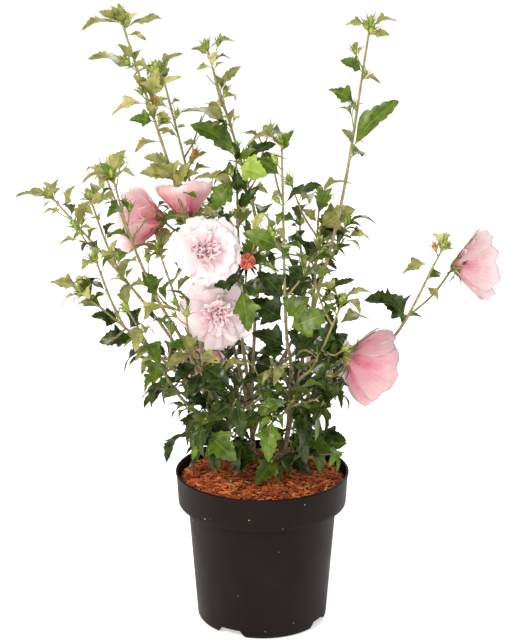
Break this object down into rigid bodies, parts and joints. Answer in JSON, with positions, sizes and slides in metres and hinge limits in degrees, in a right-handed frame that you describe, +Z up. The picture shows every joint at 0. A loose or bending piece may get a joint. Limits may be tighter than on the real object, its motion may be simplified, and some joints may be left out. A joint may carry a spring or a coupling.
{
  "type": "potted hibiscus shrub",
  "caption": "Young open hibiscus shrub in a round collared nursery pot, with woody stems, tall leafy canes, pale pink blooms, buds and a bark mulch top.",
  "frame": {"origin": "centre of the pot's flat underside pad, at the level it stands on", "axes": "+Z up along the pot's axis, -Y towards the side seen in the picture, +X to its right"},
  "size_m": [0.6258, 0.4372, 0.8288],
  "materials": {
    "pot": "satin black-brown moulded plastic, lightly dusty",
    "potting_mix": "shredded red-brown bark over potting mix",
    "bark": "thin grey-brown bark",
    "foliage": "soft satin leaves, yellow-green towards the tips",
    "foliage_shade": "darker, glossier lower leaves",
    "bloom": "soft matte pale pink petals, deeper pink towards the heart"
  },
  "bodies": {
    "root": {"stem_right": "bark", "stem_centre": "bark", "stem_left": "bark", "pot": "pot", "potting_mix": "potting_mix", "bough_far_left": "bark", "bough_upper_left": "bark", "bough_mid_left": "bark", "bough_low_left": "bark", "bough_lowest_left": "bark", "bough_tall_left": "bark", "bough_tall_left_back": "bark", "bough_centre_tall": "bark", "bough_right_tall": "bark", "bough_front_tall": "bark", "bough_centre": "bark", "bough_right_mid": "bark", "bough_far_right": "bark", "bough_right_bud": "bark", "bough_back_left": "bark", "bough_back_right": "bark", "bloom_left_upper": "bloom", "bloom_left_lower": "bloom", "bloom_far_left": "bloom", "bloom_behind": "bloom", "bloom_low_right": "bloom", "bloom_back": "bloom", "bloom_back_left": "bloom", "foliage_far_left": "foliage", "foliage_upper_left": "foliage", "foliage_mid_left": "foliage", "foliage_low_left": "foliage", "foliage_lowest_left": "foliage", "foliage_tall_left": "foliage", "foliage_tall_left_back": "foliage", "foliage_centre_tall": "foliage", "foliage_right_tall": "foliage", "foliage_front_tall": "foliage", "foliage_centre": "foliage", "foliage_right_mid": "foliage", "foliage_far_right": "foliage", "foliage_right_bud": "foliage", "foliage_back_left": "foliage", "foliage_back_right": "foliage", "foliage_low_far_left": "foliage_shade", "foliage_low_front": "foliage_shade", "foliage_low_front_right": "foliage_shade", "foliage_low_right": "foliage_shade", "foliage_low_back": "foliage_shade", "foliage_low_back_right": "foliage_shade", "foliage_low_back_left": "foliage_shade", "foliage_skirt_front": "foliage_shade", "foliage_skirt_left": "foliage_shade", "foliage_skirt_right": "foliage_shade"}
  },
  "joints": []
}
